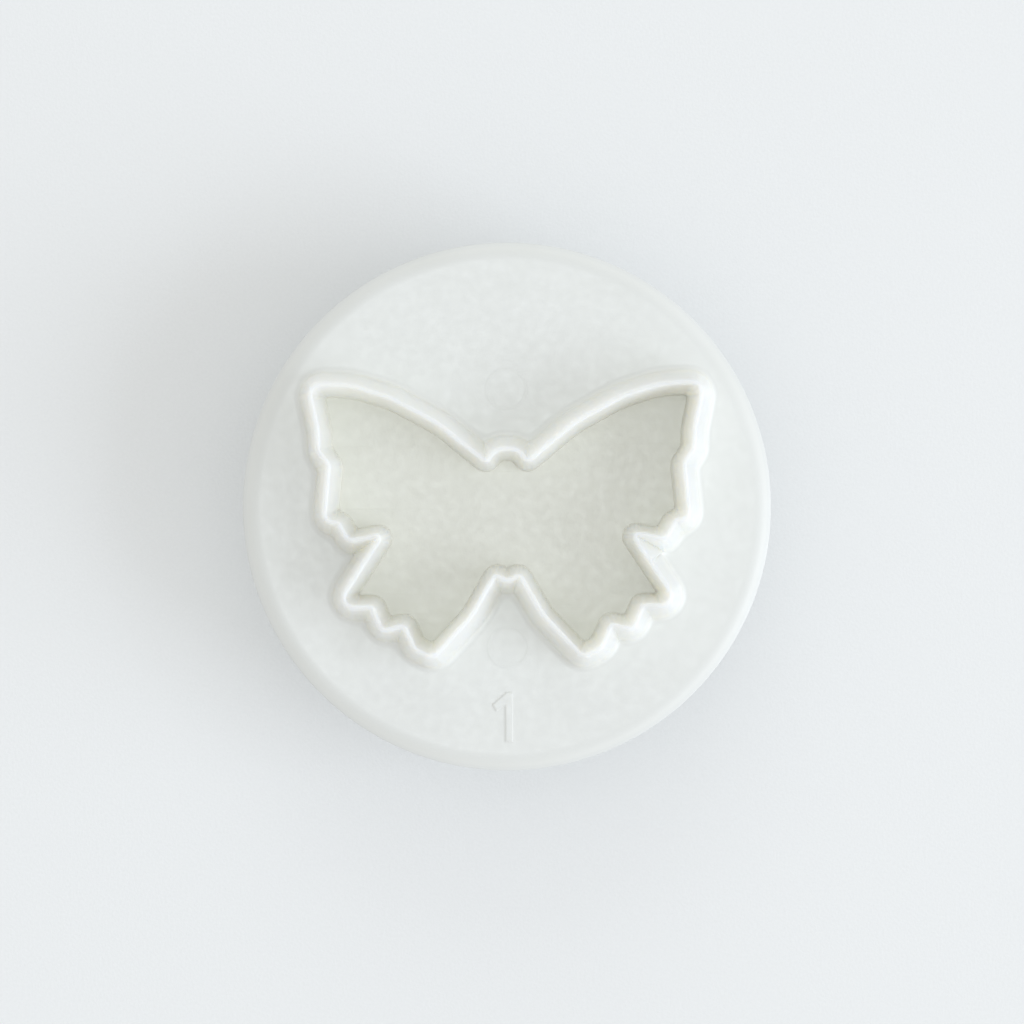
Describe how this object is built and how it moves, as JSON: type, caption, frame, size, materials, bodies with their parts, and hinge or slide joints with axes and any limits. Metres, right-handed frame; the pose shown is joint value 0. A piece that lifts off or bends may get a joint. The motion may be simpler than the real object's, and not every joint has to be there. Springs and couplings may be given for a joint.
{
  "type": "press-out cookie cutter",
  "caption": "Round flanged pastry cutter with a butterfly cutting wall and a sprung ejector plate that a push knob at the back drives forward.",
  "frame": {"origin": "middle of the push knob's flat base, on which the cutter stands as in the picture", "axes": "+Z out of the cutting edge, along the plunger's travel; +Y towards the butterfly's head; +X towards its right wing"},
  "size_m": [0.065, 0.065, 0.0228],
  "materials": {
    "ivory_plastic": "satin moulded, slightly see-through at thin edges",
    "screw_steel": "bright stainless",
    "spring_steel": "drawn wire"
  },
  "bodies": {
    "cutter": {"cutter_body": "ivory_plastic", "return_spring": "spring_steel"},
    "plunger": {"ejector_plate": "ivory_plastic", "push_knob": "ivory_plastic", "knob_screw": "screw_steel"}
  },
  "joints": [
    {"name": "plunger_slide", "type": "slide", "parent": "cutter", "child": "plunger", "axis": [0, 0, 1], "range_m": [0, 0.0074], "stiffness_N_per_m": 250, "springref_m": -0.01, "deforming": ["return_spring"]}
  ]
}
